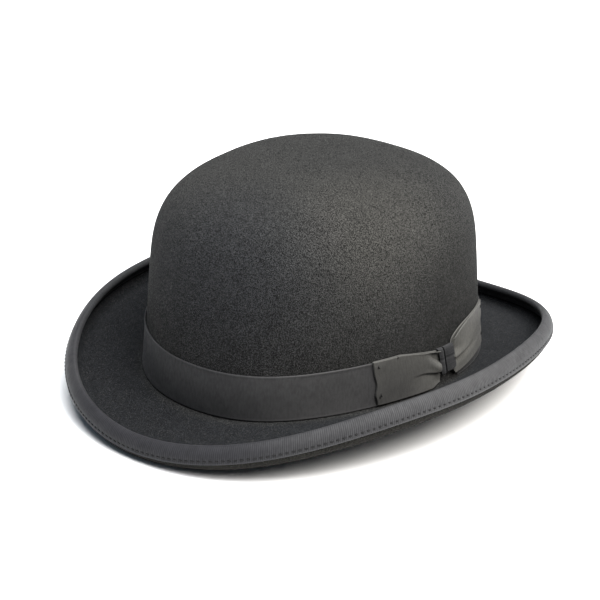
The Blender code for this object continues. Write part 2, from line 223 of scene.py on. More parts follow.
def running(steps):
    """Running total along the first axis, from 0."""
    return np.concatenate([[0.0], np.cumsum(steps)])


def side_by_side(*parts):
    return np.concatenate(parts, axis=1)


def running_rows(steps):
    """Running total along each row, from 0."""
    return side_by_side(0 * steps[:, :1], np.cumsum(steps, axis=1))


def by_band(angle, depth, rise):
    """Points out from the crown's wall, by their rise above the band's lower edge."""
    return on_wall(angle, depth, around(BAND_BASE, angle) + rise)


# ---- meshes

PIECES = bpy.data.collections.new("bowler_hat")
bpy.context.scene.collection.children.link(PIECES)


def mesh_piece(name, points, faces, material, cloth=None):
    """A piece from points and faces. cloth is each point's place on its flat cloth, in metres."""
    mesh = bpy.data.meshes.new(name)
    mesh.from_pydata(points.tolist(), [], faces)
    if cloth is not None:
        layer = mesh.uv_layers.new(name="cloth")
        corners = np.empty(len(mesh.loops), dtype=np.int32)
        mesh.loops.foreach_get("vertex_index", corners)
        layer.data.foreach_set("uv", cloth[corners].astype(np.float32).ravel())
    mesh.shade_smooth()
    mesh.materials.append(material)
    made = bpy.data.objects.new(name, mesh)
    PIECES.objects.link(made)
    return made


def grid_faces(rows, columns, rows_closed, columns_closed):
    """Quads of a grid of points, row by row."""
    row = np.arange(rows if rows_closed else rows - 1)[:, None]
    column = np.arange(columns if columns_closed else columns - 1)[None, :]
    next_row = (row + 1) % rows * columns
    beside_it = (column + 1) % columns
    row = row * columns
    quads = np.stack([row + column, row + beside_it, next_row + beside_it, next_row + column], axis=-1)
    return quads.reshape(-1, 4).tolist()


def grid_piece(name, grid, material, rows_closed=False, columns_closed=False, ends=False, cloth=None):
    """A piece from a grid of points, shape (rows, columns, 3). ends fills its first and last row."""
    rows, columns = grid.shape[:2]
    faces = grid_faces(rows, columns, rows_closed, columns_closed)
    if ends:
        faces.append(list(range(columns)))
        faces.append(list(range((rows - 1) * columns, rows * columns))[::-1])
    flat = None if cloth is None else np.stack(np.broadcast_arrays(*cloth), axis=-1).reshape(-1, 2)
    return mesh_piece(name, grid.reshape(-1, 3), faces, material, flat)


def crested(grid, depth):
    """Points and faces of a dome's rings, closed by a point at the top, its depth below the hat's."""
    rows, columns = grid.shape[:2]
    faces = grid_faces(rows, columns, True, False)
    for row in range(rows):
        after = (row + 1) % rows
        faces.append([rows * columns, after * columns + columns - 1, row * columns + columns - 1])
    return np.concatenate([grid.reshape(-1, 3), [[0.0, Y_SHIFT, HAT_HEIGHT - depth]]]), faces


def flip(piece):
    """Turns a piece's faces the other way out."""
    piece.data.flip_normals()
    return piece


def thicken(offset, height, half, cap=3):
    """Closed outline round a path in the offset and height plane, with rounded ends.

    offset and height have shape (angles, points). Returns two arrays (angles, outline points): up
    one side of the path and back down the other.
    """
    run_offset = np.gradient(offset, axis=-1)
    run_height = np.gradient(height, axis=-1)
    length = np.hypot(run_offset, run_height)
    run_offset, run_height = run_offset / length, run_height / length
    half = np.broadcast_to(half, offset.shape)
    sides = []
    for sign in (1.0, -1.0):
        sides.append((offset - sign * run_height * half, height + sign * run_offset * half))
    caps = []
    for end, sign in ((-1, 1.0), (0, -1.0)):
        swing = np.linspace(np.pi / 2, -np.pi / 2, cap + 2)[1:-1] * sign
        out = np.cos(swing) * sign
        side = np.sin(swing)
        edge = half[:, end, None]
        outwards, upwards = run_offset[:, end, None], run_height[:, end, None]
        caps.append((offset[:, end, None] + edge * (outwards * out - upwards * side),
                     height[:, end, None] + edge * (upwards * out + outwards * side)))
    back = [part[:, ::-1] for part in sides[1]]
    return tuple(side_by_side(*parts) for parts in zip(sides[0], caps[0], back, caps[1]))


def outline_across(path, cap):
    """How far each point of a thickened path's outline lies along the path."""
    last, first = [path[:, -1:]] * cap, [path[:, :1]] * cap
    return side_by_side(path, *last, path[:, ::-1], *first)


def tube(route, radius, sides=8, closed=False):
    """Points and faces of a tube along a route, its radius constant or given at each point."""
    route = np.asarray(route)
    count = len(route)
    if closed:
        run = np.roll(route, -1, axis=0) - np.roll(route, 1, axis=0)
    else:
        run = np.gradient(route, axis=0)
    run /= np.linalg.norm(run, axis=-1, keepdims=True)
    side = np.cross(run, np.array([0.0, 0.0, 1.0]))
    side /= np.linalg.norm(side, axis=-1, keepdims=True)
    up = np.cross(side, run)
    swing = ring(sides)
    radius = np.broadcast_to(radius, (count,))[:, None, None]
    shell = route[:, None, :] + radius * (
        np.cos(swing)[None, :, None] * side[:, None, :] + np.sin(swing)[None, :, None] * up[:, None, :])
    faces = grid_faces(count, sides, closed, True)
    if not closed:
        faces.append(list(range(sides))[::-1])
        faces.append(list(range((count - 1) * sides, count * sides)))
    return shell.reshape(-1, 3), faces


def join(shells):
    """One set of points and faces from several."""
    points, faces, start = [], [], 0
    for shell_points, shell_faces in shells:
        points.append(shell_points)
        faces += [[corner + start for corner in face] for face in shell_faces]
        start += len(shell_points)
    return np.concatenate(points), faces


def solidify(piece, thickness):
    """Gives a sheet its thickness, half on each side."""
    made = piece.modifiers.new("thickness", "SOLIDIFY")
    made.thickness = thickness
    made.offset = 0.0
    made.use_even_offset = False


def unevenness(points, size, seed):
    """Smooth values from -1 to 1 over the points."""
    place = Vector((seed, seed * 0.37, -seed))
    return np.array([noise.noise(Vector(point) / size + place) for point in points.reshape(-1, 3)])


def normals_of(grid, rows_closed, columns_closed):
    """Unit normals of a grid of points."""
    def run(axis, closed):
        if closed:
            return np.roll(grid, -1, axis=axis) - np.roll(grid, 1, axis=axis)
        return np.gradient(grid, axis=axis)
    normal = np.cross(run(1, columns_closed), run(0, rows_closed))
    return normal / np.maximum(np.linalg.norm(normal, axis=-1, keepdims=True), 1e-12)


def finish_piece(piece, slot, *nodes):
    """Says which body a piece rides on (the root) and hides the CAD nodes it stands for; its slot is not
    used.
    """
    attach(piece, "root")
    if nodes:
        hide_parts(*nodes)


# ---- materials

class Nodes:
    """Short ways to build a material's nodes."""

    def __init__(self, name):
        self.material = bpy.data.materials.new(name)
        self.material.use_nodes = True
        self.tree = self.material.node_tree
        self.shader = self.tree.nodes["Principled BSDF"]

    def add(self, kind, inputs=(), **settings):
        """A node of a kind, with links or values for its inputs."""
        node = self.tree.nodes.new(kind)
        for key, value in settings.items():
            setattr(node, key, value)
        for key, value in dict(inputs).items():
            self.put(node.inputs[key], value)
        return node

    def put(self, socket, value):
        if isinstance(value, bpy.types.NodeSocket):
            self.tree.links.new(value, socket)
        else:
            socket.default_value = value

    def finish(self, colour, roughness, relief=None, depth=0.0, strength=1.0, **others):
        """Sets the shader's inputs, with a relief of some depth, and gives the material."""
        inputs = {"Base_Color": colour, "Roughness": roughness, **others}
        if relief:
            bump = {"Height": relief, "Distance": depth, "Strength": strength}
            inputs["Normal"] = self.add("ShaderNodeBump", bump).outputs["Normal"]
        for key, value in inputs.items():
            self.put(self.shader.inputs[key.replace("_", " ")], value)
        return self.material

    def place(self):
        return self.add("ShaderNodeTexCoord").outputs["Object"]

    def cloth(self):
        """The flat cloth's coordinates in metres: both, along it and across it."""
        uv = self.add("ShaderNodeUVMap", uv_map="cloth").outputs["UV"]
        return uv, self.axis(uv, "X"), self.axis(uv, "Y")

    def axis(self, vector, name):
        return self.add("ShaderNodeSeparateXYZ", {"Vector": vector}).outputs[name]

    def stretched(self, scale, vector=None):
        """Coordinates times a factor along each axis."""
        inputs = {"Vector": vector or self.place(), "Scale": scale}
        return self.add("ShaderNodeMapping", inputs).outputs["Vector"]

    def noise(self, size, detail=3.0, rough=0.6, warp=0.0, vector=None):
        inputs = {"Vector": vector or self.place(), "Scale": 1 / size, "Detail": detail,
                  "Roughness": rough, "Distortion": warp}
        return self.add("ShaderNodeTexNoise", inputs).outputs["Fac"]

    def math(self, operation, first, second=0.0):
        return self.add("ShaderNodeMath", {0: first, 1: second}, operation=operation).outputs[0]

    def vector_math(self, operation, first, second, output):
        inputs = {0: first, 1: second}
        return self.add("ShaderNodeVectorMath", inputs, operation=operation).outputs[output]

    def times(self, first, *others):
        """Product of values."""
        for other in others:
            first = self.math("MULTIPLY", first, other)
        return first

    def plus(self, first, second, share):
        """A value and a share of another."""
        return self.math("ADD", first, self.times(second, share))

    def apart(self, first, second):
        """How far two values are from each other."""
        return self.math("ABSOLUTE", self.math("SUBTRACT", first, second))

    def ramp(self, value, low, high, start=0.0, end=1.0):
        """Maps a value from low..high to start..end, smoothly."""
        inputs = {"Value": value, "From Min": low, "From Max": high, "To Min": start, "To Max": end}
        return self.add("ShaderNodeMapRange", inputs, interpolation_type="SMOOTHSTEP").outputs["Result"]

    def spread(self, noise, start, end):
        """Maps the usual range of a noise to start..end, smoothly."""
        return self.ramp(noise, 0.3, 0.7, start, end)

    def sine(self, value, pitch):
        """Sine of a length, with one turn in each pitch."""
        return self.math("SINE", self.times(value, 2 * np.pi / pitch))

    def mix(self, share, first, second):
        """A colour between two, at a share of the way."""
        node = self.add("ShaderNodeMix", data_type="RGBA")
        self.put(node.inputs["Factor"], share)
        colours = [socket for socket in node.inputs if socket.type == "RGBA"]
        for socket, value in zip(colours, (first, second)):
            self.put(socket, (*value, 1.0) if isinstance(value, tuple) else value)
        return [socket for socket in node.outputs if socket.type == "RGBA"][0]

    def tint(self, colour, centre, near, far, factor):
        """Multiplies a colour by another near a place, fading out softly between two distances."""
        away = self.vector_math("DISTANCE", self.place(), centre, "Value")
        share = self.mix(self.ramp(away, near, far, 1.0, 0.0), (1.0, 1.0, 1.0), factor)
        return self.vector_math("MULTIPLY", colour, share, "Vector")


# Soft areas of painted light and shade: the centre, where the fading starts and ends, and the factor there.
PAINTED_HIGHLIGHT_SHOULDER = ((0.060, -0.022, 0.118), 0.012, 0.070, (1.40, 1.365, 1.30))
PAINTED_SHADE_CROWN_FRONT = ((0.012, -0.085, 0.085), 0.015, 0.080, (0.72, 0.75, 0.84))
PAINTED_SHADE_OVER_BOW = ((0.086, 0.030, 0.068), 0.012, 0.054, (0.72, 0.72, 0.70))
PAINTED_SHADE_BRIM_FRONT = ((0.015, -0.147, 0.012), 0.045, 0.088, (0.66, 0.66, 0.70))
PAINTED_LIGHT_BRIM_SIDE = ((0.127, 0.010, 0.020), 0.020, 0.110, (1.40, 1.40, 1.36))
PAINTED_LIGHT_BAND = ((0.064, -0.066, 0.036), 0.008, 0.060, (1.45, 1.44, 1.41))
PAINTED_LIGHT_REAR_LOOP = ((0.080, 0.030, 0.046), 0.010, 0.044, (1.45, 1.45, 1.42))
PAINTED_SHADE_LOOP_FOOT = ((0.082, -0.030, 0.018), 0.006, 0.028, (0.68, 0.68, 0.70))


def felt_material():
    """Black wool felt: short mottled nap, a few paler fibres, a soft sheen at the edges, and painted light
    and shade in soft areas.
    """
    made = Nodes("wool_felt")
    nap = made.noise(0.62 * MM, detail=2.0, rough=0.7, warp=0.8)
    grain = made.noise(0.42 * MM, detail=1.0)
    cloud = made.noise(13 * MM, detail=4.0)
    lint = made.noise(0.75 * MM, detail=1.0, warp=3.0, vector=made.stretched((1.0, 1.0, 2.2)))
    # painted light and shade: the felt is painted paler towards the top and darker low on the crown
    height = made.ramp(made.axis(made.place(), "Z"), 0.040, 0.105, 0.58, 1.14)
    tone = made.times(made.ramp(nap, 0.38, 0.64, 0.02, 1.0), made.ramp(grain, 0.38, 0.64, 0.15, 1.75),
                      made.spread(cloud, 0.86, 1.12), height)
    # painted highlight on the bow side's shoulder, and painted shade at the front and over the bow
    crown = made.mix(tone, (0.0034, 0.0035, 0.0035), (0.0535, 0.0532, 0.0512))
    for patch in (PAINTED_HIGHLIGHT_SHOULDER, PAINTED_SHADE_CROWN_FRONT, PAINTED_SHADE_OVER_BOW):
        crown = made.tint(crown, *patch)
    # painted shade: the brim is painted darker than the crown, with separate tones for its upper and
    # downward-facing sides
    top = made.mix(tone, (0.0036, 0.0040, 0.0046), (0.0235, 0.0252, 0.0282))
    under = made.mix(tone, (0.0050, 0.0047, 0.0040), (0.0290, 0.0270, 0.0225))
    facing = made.axis(made.add("ShaderNodeNewGeometry").outputs["Normal"], "Z")
    brim = made.mix(made.ramp(facing, 0.0, 0.3), under, top)
    plan = made.stretched((1 / CROWN_HALF_WIDTH, 1 / CROWN_HALF_LENGTH, 0.0))
    on_brim = made.ramp(made.vector_math("LENGTH", plan, (0.0, 0.0, 0.0), "Value"), 1.01, 1.10)
    colour = made.mix(made.ramp(lint, 0.65, 0.72, 0.0, 0.7), made.mix(on_brim, crown, brim),
                      (0.14, 0.137, 0.128))
    return made.finish(colour, made.spread(nap, 0.98, 0.86), made.plus(nap, grain, 0.6), 0.55 * MM,
                       Specular_IOR_Level=0.06, Sheen_Weight=0.02, Sheen_Roughness=0.6,
                       Sheen_Tint=(0.80, 0.81, 0.84, 1.0))


def grosgrain_material(name, dark, pale, width=BAND_HEIGHT, pitch=0.5 * MM, depth=0.58, pleat=None,
                       gloss=0.12, painted_light_patches=()):
    """Ribbed ribbon. Its ribs run across it, and its two long edges, the bound selvedges, are painted paler
    as a highlight.

    Along a pleat it is painted darker as shade, and it may carry soft areas of painted light and shade.
    """
    made = Nodes(name)
    uv, along, across = made.cloth()
    drift = made.noise(8 * MM, detail=2.0)
    rib = made.ramp(made.math("SINE", made.math("ADD", made.times(along, 2 * np.pi / pitch),
                                                made.times(drift, 1.5))), -1.0, 1.0)
    thread = made.ramp(made.sine(across, 0.42 * MM), -1.0, 1.0)
    slub = made.noise(1.3 * MM, vector=made.stretched((1.0, 0.35, 1.0), uv))
    wear = made.noise(9 * MM)
    edge = width / 2
    # painted highlight: the rounded selvedges are paler
    selvedge = made.ramp(made.apart(across, edge), edge - 0.75 * MM, edge - 0.35 * MM, 1.0, 1.6)
    # painted shade: darker in the valleys between the ribs and between the threads; slub and wear vary the
    # tone at random
    tone = made.times(made.ramp(rib, 0.0, 1.0, 1 - depth, 1.0), made.ramp(thread, 0.0, 1.0, 0.85, 1.0),
                      made.spread(slub, 0.86, 1.1), made.spread(wear, 0.88, 1.1), selvedge)
    # painted shade along the pleat's valley
    if pleat:
        tone = made.times(tone, made.ramp(made.apart(across, pleat), 0.3 * MM, 0.7 * MM, -0.2, 1.0))
    colour = made.mix(tone, dark, pale)
    # soft areas of painted light and shade
    for patch in painted_light_patches:
        colour = made.tint(colour, *patch)
    return made.finish(colour, made.spread(slub, 0.64, 0.50), made.plus(rib, thread, 0.25), 0.07 * MM, 0.7,
                       Specular_IOR_Level=gloss, Sheen_Weight=0.05, Sheen_Roughness=0.4,
                       Sheen_Tint=(0.86, 0.87, 0.90, 1.0))


def thread_material():
    """Black sewing thread, its twist seen as fine slanting ridges."""
    made = Nodes("black_thread")
    twist = made.noise(0.3 * MM, detail=2.0, vector=made.stretched((1.0, 1.0, 0.35)))
    colour = made.mix(twist, (0.0015, 0.0015, 0.0018), (0.009, 0.0088, 0.009))
    return made.finish(colour, 0.7, twist, 0.1 * MM, 0.6, Specular_IOR_Level=0.25)


def piping_material():
    """Satin cord: slanting floats with a painted sheen, bright over a dark ground."""
    made = Nodes("piping_satin")
    shine = made.noise(0.8 * MM, warp=0.6)
    colour = made.mix(shine, (0.040, 0.038, 0.044), (0.14, 0.135, 0.145))
    return made.finish(colour, made.spread(shine, 0.42, 0.30), shine, 0.08 * MM, 0.5, Specular_IOR_Level=0.6)


def leather_material():
    """Smooth brown hat leather: fine pores and creases, darker in the creases' low places."""
    made = Nodes("hat_leather")
    pores = made.add("ShaderNodeTexVoronoi", {"Vector": made.place(), "Scale": 1 / (1.1 * MM)},
                     feature="DISTANCE_TO_EDGE").outputs["Distance"]
    crease = made.noise(7 * MM, detail=5.0, rough=0.65, warp=0.8)
    cloud = made.noise(24 * MM)
    grain = made.plus(made.ramp(pores, 0.0, 0.25), crease, 0.8)
    colour = made.mix(cloud, (0.085, 0.034, 0.015), (0.190, 0.088, 0.042))
    colour = made.mix(made.ramp(crease, 0.42, 0.60, 0.45, 0.0), colour, (0.045, 0.019, 0.010))
    return made.finish(colour, made.spread(crease, 0.36, 0.52), grain, 0.09 * MM, 0.5,
                       Specular_IOR_Level=0.5, Coat_Weight=0.12, Coat_Roughness=0.3)


def satin_material():
    """Dark satin: fine floats along the cloth and a soft gloss."""
    made = Nodes("lining_satin")
    uv, _, across = made.cloth()
    floats = made.noise(0.35 * MM, vector=made.stretched((1.0, 0.06, 1.0), uv))
    weave = made.ramp(made.sine(across, 0.5 * MM), -1.0, 1.0)
    cloud = made.noise(18 * MM)
    tone = made.times(made.spread(floats, 0.5, 1.0), made.spread(cloud, 0.75, 1.1))
    colour = made.mix(tone, (0.030, 0.029, 0.033), (0.115, 0.112, 0.120))
    relief = made.plus(floats, weave, 0.4)
    return made.finish(colour, made.spread(floats, 0.42, 0.30), relief, 0.05 * MM, 0.5,
                       Specular_IOR_Level=0.6, Sheen_Weight=0.15, Sheen_Roughness=0.3)


def tape_material():
    """Oiled cotton tape round the reed: a plain weave, slightly glossy."""
    made = Nodes("reed_tape_cotton")
    _, along, across = made.cloth()
    weave = made.ramp(made.times(made.sine(along, 0.7 * MM), made.sine(across, 0.7 * MM)), -1.0, 1.0)
    dirt = made.noise(5 * MM, detail=4.0)
    # painted shade: darker in the weave's valleys; the dirt varies the tone at random
    tone = made.times(made.ramp(weave, 0.0, 1.0, 0.5, 1.0), made.spread(dirt, 0.7, 1.1))
    colour = made.mix(tone, (0.010, 0.009, 0.009), (0.048, 0.044, 0.040))
    return made.finish(colour, made.spread(dirt, 0.65, 0.5), weave, 0.08 * MM, 0.6)


def cane_material():
    """Split cane: pale fibres that run along it."""
    made = Nodes("split_cane")
    fibre = made.noise(1.2 * MM, detail=4.0, vector=made.stretched((0.3, 0.3, 3.0)))
    colour = made.mix(fibre, (0.30, 0.19, 0.09), (0.56, 0.42, 0.24))
    return made.finish(colour, made.spread(fibre, 0.6, 0.42), fibre, 0.1 * MM, 0.5)


def brass_material():
    """Drawn brass with fine scratches."""
    made = Nodes("drawn_brass")
    scratch = made.noise(0.9 * MM, detail=4.0, vector=made.stretched((0.2, 3.0, 3.0)))
    colour = made.mix(scratch, (0.48, 0.31, 0.11), (0.72, 0.52, 0.22))
    return made.finish(colour, made.spread(scratch, 0.42, 0.24), scratch, 0.03 * MM, 0.4, Metallic=1.0)


def film_material():
    """Clear flexible film, faintly yellowed, with shallow ripples."""
    made = Nodes("clear_film")
    ripple = made.noise(9 * MM, detail=2.0)
    colour = made.mix(ripple, (0.80, 0.79, 0.70), (0.92, 0.91, 0.86))
    return made.finish(colour, made.spread(ripple, 0.06, 0.16), ripple, 0.5 * MM, 0.25,
                       IOR=1.46, Alpha=0.22, Specular_IOR_Level=0.6)


def card_material():
    """Plain pulp card, stained in places."""
    made = Nodes("plain_card")
    pulp = made.noise(0.7 * MM, detail=4.0)
    stain = made.noise(12 * MM)
    colour = made.mix(pulp, (0.66, 0.62, 0.52), (0.80, 0.77, 0.69))
    colour = made.mix(made.ramp(stain, 0.5, 0.8, 0.0, 0.5), colour, (0.50, 0.42, 0.30))
    return made.finish(colour, made.spread(pulp, 0.9, 0.75), pulp, 0.05 * MM, 0.5)


WOOL = felt_material()
# the binding, band and bow carry soft areas of painted light and shade
BINDING = grosgrain_material("binding_grosgrain", (0.003, 0.003, 0.0033), (0.044, 0.0436, 0.0460),
                             width=BINDING_GIRTH, pitch=1.15 * MM, depth=0.45,
                             painted_light_patches=(PAINTED_SHADE_BRIM_FRONT, PAINTED_LIGHT_BRIM_SIDE))
BAND = grosgrain_material("band_grosgrain", (0.0068, 0.0068, 0.0071), (0.0445, 0.0441, 0.0455),
                          painted_light_patches=(PAINTED_LIGHT_BAND,))
BOW = grosgrain_material("bow_grosgrain", (0.0105, 0.0105, 0.0099), (0.083, 0.0810, 0.0755), gloss=0.32,
                         painted_light_patches=(PAINTED_LIGHT_REAR_LOOP, PAINTED_SHADE_LOOP_FOOT))
# the keeper's ribbon has painted shade along its pleat
KEEPER = grosgrain_material("keeper_grosgrain", (0.003, 0.003, 0.0035), (0.042, 0.042, 0.0435),
                            pleat=4.6 * MM)
THREAD = thread_material()
HIDE = leather_material()
SATIN = satin_material()
PIPING = piping_material()
TAPE_CLOTH = tape_material()
CANE = cane_material()
BRASS = brass_material()
FILM = film_material()
CARD = card_material()


# ---- felt body

def brim_path(angle):
    """Middle of the felt from above the band, round the fillet and along the brim to the curl."""
    base = around(BAND_BASE, angle)[:, None]
    top = base - BRIM_DROP
    start_height = top - FELT / 2
    run = (around(BRIM_REACH, angle) - around(CURL_RADIUS, angle))[:, None] - FILLET
    rise = around(CURL_BOTTOM, angle)[:, None] + FELT / 2 - start_height
    slope = BRIM_EASE * rise / run
    bend = FILLET + FELT / 2
    turn = np.linspace(0.0, 0.75, 4)[None, :] * (np.pi / 2 + np.arctan(slope))
    offset = [FILLET - bend * np.cos(turn)]
    height = [top + FILLET - bend * np.sin(turn)]
    share = np.linspace(0.0, 0.95, 22)[None, :]
    curve = 3 * share ** 2 - 2 * share ** 3
    lead = share - 2 * share ** 2 + share ** 3
    offset.append(FILLET + run * share)
    height.append(start_height + rise * curve + slope * run * lead)
    return side_by_side(*offset), side_by_side(*height)


def build_felt():
    """One felt hood: both faces of the crown, the brim and its rolled edge."""
    angle = ring(288)
    column = angle[:, None]
    base = around(BAND_BASE, angle)[:, None]
    cap = 4
    offset, height = brim_path(angle)
    turn = np.linspace(0.0, 1.0, 26)[None, :] * felt_edge(angle)[:, None]
    curl = curl_profile(column, turn, RIBBON + GAP + FELT / 2)
    brim = beside(column, *thicken(side_by_side(offset, curl[0]), side_by_side(height, curl[1]),
                                   FELT / 2, cap=cap))
    low = base - BRIM_DROP + FILLET
    wall_height = low + (DOME_START - low) * np.linspace(1.0, 0.0, 14)[None, :-1]
    share = np.concatenate([np.linspace(0.985, 0.30, 30), np.linspace(0.27, 0.02, 10)])[None, :]
    outside = side_by_side(on_dome(column, share, 0.0), on_wall(column, 0.0, wall_height))
    inside = side_by_side(on_dome(column, share, FELT), on_wall(column, -FELT, wall_height))
    # the brim's outline needs no rounded end where it meets the wall
    loop = side_by_side(outside, brim[:, :-cap], inside[:, ::-1])
    normal = normals_of(loop, True, False)
    swell = unevenness(loop, 26 * MM, 3.1) * 0.16 * MM + unevenness(loop, 7 * MM, 8.4) * 0.05 * MM
    swell = swell.reshape(loop.shape[:2])
    swell[:, 0] = swell[:, -1] = 0.0
    loop = loop + normal * swell[..., None]
    rows, columns = loop.shape[:2]
    crests = [[0.0, Y_SHIFT, HAT_HEIGHT], [0.0, Y_SHIFT, HAT_HEIGHT - FELT]]
    points = np.concatenate([loop.reshape(-1, 3), crests])
    faces = grid_faces(rows, columns, True, False)
    crest, under = rows * columns, rows * columns + 1
    for row in range(rows):
        here, there = row * columns, (row + 1) % rows * columns
        faces.append([crest, here, there])
        faces.append([under, there + columns - 1, here + columns - 1])
    piece = mesh_piece("felt_hood", points, faces, WOOL)
    flip(piece)
    finish_piece(piece, "felt", "felt_body")


# ---- brim binding and its stitches

STITCH_INSET = 2.0 * MM
STITCH_FROM_TOP = BINDING_WIDTH - STITCH_INSET
STITCH_PITCH = 3.4 * MM
STITCH_LENGTH = 1.7 * MM


def even_angles(count):
    """Angles that space points evenly along the binding's stitch line, and the line's length."""
    fine = np.linspace(0.0, 2 * np.pi, 2881)
    line = on_curl(fine, CURL_TURN - STITCH_FROM_TOP / around(CURL_RADIUS, fine), 0.0)
    length = running(np.linalg.norm(np.diff(line, axis=0), axis=1))
    return np.interp(np.linspace(0.0, length[-1], count, endpoint=False), length, fine), length[-1]


STITCHES = int(even_angles(1)[1] / STITCH_PITCH)


def build_binding():
    """Ribbon folded over the felt's edge: crisp fold, soft lower edge, puckered at each stitch."""
    angle, length = even_angles(STITCHES * 6)
    # the ribbon's two ends meet at the back, a whole number of stitches from the front
    angle = np.roll(angle, -6 * (STITCHES // 2))
    column = angle[:, None]
    radius = around(CURL_RADIUS, angle)[:, None]
    edge = felt_edge(angle)[:, None]
    start = CURL_TURN - BINDING_WIDTH / radius
    along = np.linspace(0.0, length, len(angle), endpoint=False)[:, None]
    inner = RIBBON + GAP + FELT + GAP + RIBBON / 2
    share = np.linspace(0.0, 1.0, 16)[None, :]
    turn = start + share * (edge - start)
    from_edge = share * (edge - start) * radius
    stitch = np.cos(2 * np.pi * along / (length / STITCHES))
    pucker = hump(from_edge, STITCH_INSET, 0.85 * MM) * (0.26 + 0.14 * stitch) * MM
    lap = hump(from_edge, 0.0, 1.3 * MM) * (0.05 + 0.05 * np.sin(along / (23 * MM))) * MM
    outer = RIBBON / 2 + pucker - lap
    swing = np.linspace(-75.0, 75.0, 7)[None, :] * np.pi / 180
    middle, half = (RIBBON / 2 + inner) / 2, (inner - RIBBON / 2) / 2
    fold_turn = edge + BINDING_FOLD * np.cos(swing) / (radius - middle)
    fold_depth = middle + half * np.sin(swing)
    turns = side_by_side(turn, fold_turn, turn[:, ::-2])
    depths = side_by_side(outer + 0 * turn, fold_depth + 0 * edge, inner + 0 * turn[:, ::2])
    offset, height = curl_profile(column, turns, depths)
    path = running_rows(np.hypot(np.diff(offset), np.diff(height)))
    grid = beside(column, *thicken(offset, height, RIBBON / 2, cap=2))
    piece = grid_piece("brim_ribbon", grid, BINDING, True, True, cloth=(along, outline_across(path, 2)))
    flip(piece)
    finish_piece(piece, "grosgrain", "brim_binding")


def stitch_row(name, node, middles, route, radius):
    """A row of short stitches. route gives one's points from its angle and places from -1 to 1."""
    place = np.linspace(-1.0, 1.0, 7)
    shells = [tube(route(middle, place), radius, sides=6) for middle in middles]
    finish_piece(mesh_piece(name, *join(shells), THREAD), "thread", node)


def build_stitches():
    """Short visible stitches of the row that holds the binding, each end drawn into the ribbon."""
    middles, length = even_angles(STITCHES)

    def route(angle, place):
        reach = place * STITCH_LENGTH / 2 / length * 2 * np.pi
        slant = place * 0.22 * MM
        turn = CURL_TURN - (STITCH_FROM_TOP + slant) / around(CURL_RADIUS, angle)
        return on_curl(angle + reach, turn, (0.02 + 0.50 * place ** 4) * MM)

    stitch_row("brim_stitches", "binding_stitching", middles, route, 0.32 * MM)


# ---- hat band

def build_band():
    """Ribbon drawn round the crown, its selvedges slightly thicker and never quite straight."""
    start, end = BAND_ENDS[1], BAND_ENDS[0] + 2 * np.pi
    angle = np.linspace(start, end, 520)
    flat = oval(angle)
    along = running(np.linalg.norm(np.diff(flat, axis=0), axis=1))[:, None]
    share = np.concatenate([np.linspace(0.0, 0.06, 5), np.linspace(0.1, 0.9, 12), np.linspace(0.94, 1.0, 5)])
    share = share[None, :]
    waver = 0.18 * MM * np.sin(along / (31 * MM) + 0.7) + 0.09 * MM * np.sin(along / (9.7 * MM))
    base = around(BAND_BASE, angle)[:, None]
    height = base + 0.1 * MM + share * (BAND_HEIGHT - 0.1 * MM + waver) + (1 - share) * 0.3 * waver
    belly = 0.10 * MM * np.sin(np.pi * share) * np.sin(along / (17 * MM) + 1.0)
    stand = 0.12 * MM * hump(share, 1.0, 0.05) * (1 + np.sin(along / (13 * MM)))
    offset = GAP + RIBBON / 2 + belly + stand
    bead = RIBBON / 2 * (1 + 0.35 * (hump(share, 0.012, 0.018) + hump(share, 0.988, 0.018)))
    offset = offset + 0 * height
    outline = thicken(offset, height, bead + 0 * height, cap=3)
    grid = on_wall(angle[:, None], *outline)
    across = outline_across(share * BAND_HEIGHT, 3)
    piece = grid_piece("crown_ribbon", grid, BAND, columns_closed=True, cloth=(along, across), ends=True)
    flip(piece)
    finish_piece(piece, "grosgrain", "hat_band")


# ---- side bow

BOW_RIBBON = 0.35 * MM
BOW_INNER = 1.05 * MM
BOW_LOWEST = 1.45 * MM
FRONT_ROOT, REAR_ROOT = 95.0, 103.7     # the keeper's two sides, in degrees
REAR_END = 129.5
FRONT_ENDS_AT = (64.9, 63.0)            # the front loop's end at its lower and upper corners
MM_PER_DEGREE = np.radians(86.0) * MM


def loop_edges(side, degrees):
    """Lower and upper edge of a loop's ribbon, above the band's lower edge."""
    if side == "front":
        past = FRONT_ROOT - degrees
        low = 0.6 + 1.6 * (1 - ease(past / 5.0)) + 5.2 * (1 - ease((past + 1.4) / 1.4))
        high = 26.1 - 0.26 * np.clip(20.0 - past, 0.0, 20.5)
        return low * MM, high * MM
    past = degrees - REAR_ROOT
    low = 3.4 + 0.09 * past + 3.9 * (1 - ease((past + 1.2) / 1.6))
    high = 31.6 - 7.0 * np.exp(-np.maximum(past + 0.3, 0.0) / 6.5) - 3.8 * (1 - ease((past + 1.5) / 1.2))
    return low * MM, high * MM


def fold_step(height, crease, out, back, reach):
    """A fold along a ribbon: it stands out just above the crease and sits back just below it."""
    above = 1 / (1 + np.exp(-np.clip((height - crease) / 0.22, -40.0, 40.0)))
    apart = np.exp(-np.abs(height - crease) / reach)
    return (out * above - back * (1 - above)) * apart


